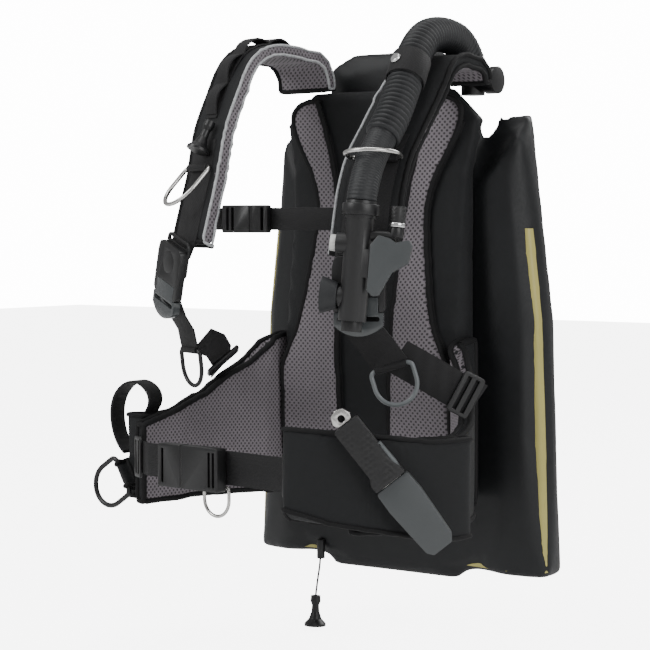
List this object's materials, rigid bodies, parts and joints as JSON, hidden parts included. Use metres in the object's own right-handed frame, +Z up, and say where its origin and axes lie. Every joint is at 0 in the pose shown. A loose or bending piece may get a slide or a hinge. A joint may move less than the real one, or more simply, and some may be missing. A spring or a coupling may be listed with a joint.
{
  "type": "scuba buoyancy compensator vest",
  "caption": "Back-inflation diving vest with horseshoe air wing, padded straps, waist lobes, pockets, corrugated hose with power inflator, knife and cylinder band.",
  "frame": {"origin": "on the cylinder axis at mid-height of the tank band", "axes": "+Z up the wearer, -Y forward (towards the wearer and belly), +X towards the wearer's left"},
  "size_m": [0.5253, 0.5589, 0.7418],
  "materials": {
    "nylon": "matte woven",
    "webbing": "ribbed woven",
    "mesh": "spacer mesh",
    "black_plastic": "moulded acetal",
    "grey_plastic": "satin",
    "rubber": "matte",
    "stainless": "brushed",
    "chrome": "polished",
    "plate_alloy": "satin",
    "button_white": "gloss",
    "bladder_film": "film"
  },
  "bodies": {
    "vest": {"back_pad": "nylon", "backplate": "plate_alloy", "belt_webbings": "webbing", "cam_buckle_frame": "black_plastic", "cam_buckle_pin": "stainless", "carry_handle": "webbing", "chest_buckle_male": "black_plastic", "chest_webbings": "webbing", "corrugated_hose": "rubber", "daisy_chain": "webbing", "dump_cord": "rubber", "dump_cord_guide": "black_plastic", "dump_toggle_lower": "black_plastic", "dump_valve": "black_plastic", "grip_plate": "grey_plastic", "hose_collar": "black_plastic", "hose_cuff": "rubber", "hose_elbow": "black_plastic", "hose_keeper": "webbing", "inflator_body": "black_plastic", "inlet_coupling": "chrome", "inner_bladder": "bladder_film", "knife_sheath": "grey_plastic", "ladder_locks": "black_plastic", "loop_handle": "webbing", "lumbar_lobes": "nylon", "mesh_panels": "mesh", "mouthpiece": "rubber", "plate_screws": "stainless", "pocket_left": "nylon", "pocket_right": "nylon", "shoulder_straps": "nylon", "shoulder_webbings": "webbing", "side_webbings": "webbing", "strap_webbings": "webbing", "swivel_plates": "black_plastic", "tank_band": "webbing", "tank_saddle": "black_plastic", "triglides": "black_plastic", "waist_buckle_male": "black_plastic", "wing_shell": "nylon"},
    "cam_lever": {"cam_buckle_lever": "black_plastic"},
    "chest_ring_right": {"d_ring_chest_right": "stainless"},
    "chest_ring_left": {"d_ring_chest_left": "stainless"},
    "shoulder_ring_right": {"d_ring_shoulder_right": "black_plastic"},
    "shoulder_ring_left": {"d_ring_shoulder_left": "grey_plastic"},
    "waist_ring": {"d_ring_waist_right": "black_plastic"},
    "belly_ring": {"d_ring_belly": "stainless"},
    "swivel_right": {"swivel_buckle_right": "black_plastic"},
    "swivel_left": {"swivel_buckle_left": "black_plastic"},
    "shoulder_male_right": {"shoulder_buckle_male_right": "grey_plastic"},
    "shoulder_male_left": {"shoulder_buckle_male_left": "grey_plastic"},
    "chest_socket": {"chest_buckle_female": "black_plastic"},
    "waist_socket": {"waist_buckle_female": "black_plastic"},
    "inflate_button": {"inflate_button": "button_white"},
    "deflate_button": {"deflate_button": "black_plastic"},
    "knife": {"knife_blade": "stainless", "knife_handle": "black_plastic"},
    "knife_lock": {"knife_lock_lever": "grey_plastic"},
    "shoulder_dump_toggle": {"dump_toggle_shoulder": "black_plastic"}
  },
  "joints": [
    {"name": "cam_lever_hinge", "type": "hinge", "parent": "vest", "child": "cam_lever", "pos_m": [-0.02, 0.108, 0], "axis": [0, 0, 1], "range_deg": [0, 110]},
    {"name": "chest_ring_right_hinge", "type": "hinge", "parent": "vest", "child": "chest_ring_right", "pos_m": [-0.1151, -0.34927, 0.15594], "axis": [0.9135, -0.4067, 0], "range_deg": [-80, 15]},
    {"name": "chest_ring_left_hinge", "type": "hinge", "parent": "vest", "child": "chest_ring_left", "pos_m": [0.11465, -0.32747, 0.16313], "axis": [0.9135, 0.4067, 0], "range_deg": [-1, 1]},
    {"name": "shoulder_ring_right_hinge", "type": "hinge", "parent": "vest", "child": "shoulder_ring_right", "pos_m": [-0.12667, -0.35125, -0.05367], "axis": [0.9135, -0.4068, 0], "range_deg": [-10, 35]},
    {"name": "shoulder_ring_left_hinge", "type": "hinge", "parent": "vest", "child": "shoulder_ring_left", "pos_m": [0.13787, -0.33323, -0.06358], "axis": [0.8574, 0.4187, 0.2991], "range_deg": [-10, 14]},
    {"name": "waist_ring_hinge", "type": "hinge", "parent": "vest", "child": "waist_ring", "pos_m": [-0.238, -0.343, -0.208], "axis": [0.5538, -0.0778, -0.829], "range_deg": [-15, 25]},
    {"name": "belly_ring_hinge", "type": "hinge", "parent": "vest", "child": "belly_ring", "pos_m": [-0.05506, -0.39373, -0.20196], "axis": [0.9949, -0.1011, 0], "range_deg": [-10, 60]},
    {"name": "swivel_right_turn", "type": "hinge", "parent": "vest", "child": "swivel_right", "pos_m": [-0.12441, -0.38069, 0.04799], "axis": [-0.4067, -0.9135, 0], "range_deg": [-15, 15]},
    {"name": "swivel_left_turn", "type": "hinge", "parent": "vest", "child": "swivel_left", "pos_m": [0.11726, -0.3633, 0.03653], "axis": [0.4067, -0.9135, 0], "range_deg": [-15, 15]},
    {"name": "shoulder_buckle_right_release", "type": "slide", "parent": "swivel_right", "child": "shoulder_male_right", "axis": [-0.2671, 0.1189, -0.9563], "range_m": [0, 0.022]},
    {"name": "shoulder_buckle_left_release", "type": "slide", "parent": "swivel_left", "child": "shoulder_male_left", "axis": [0, 0, -1], "range_m": [0, 0.022]},
    {"name": "chest_buckle_release", "type": "slide", "parent": "vest", "child": "chest_socket", "axis": [0.991, 0.134, 0], "range_m": [0, 0.022]},
    {"name": "waist_buckle_release", "type": "slide", "parent": "vest", "child": "waist_socket", "axis": [-0.9949, 0.1011, 0], "range_m": [0, 0.028]},
    {"name": "inflate_button_press", "type": "slide", "parent": "vest", "child": "inflate_button", "axis": [0.9132, 0.4016, -0.069], "range_m": [0, 0.003], "stiffness_N_per_m": 800, "springref_m": -0.002},
    {"name": "deflate_button_press", "type": "slide", "parent": "vest", "child": "deflate_button", "axis": [0.0366, 0.0878, 0.9955], "range_m": [0, 0.003], "stiffness_N_per_m": 800, "springref_m": -0.002},
    {"name": "knife_draw", "type": "slide", "parent": "vest", "child": "knife", "axis": [-0.5227, -0.333, 0.7848], "range_m": [0, 0.09]},
    {"name": "knife_lock_lever_hinge", "type": "hinge", "parent": "knife", "child": "knife_lock", "pos_m": [0.17085, -0.40553, -0.13912], "axis": [0.5373, -0.8434, 0], "range_deg": [0, 12], "stiffness_Nm_per_rad": 0.05},
    {"name": "shoulder_dump_pull", "type": "slide", "parent": "vest", "child": "shoulder_dump_toggle", "axis": [-0.0826, -0.4557, -0.8863], "range_m": [0, 0.008], "stiffness_N_per_m": 400, "springref_m": -0.003}
  ]
}
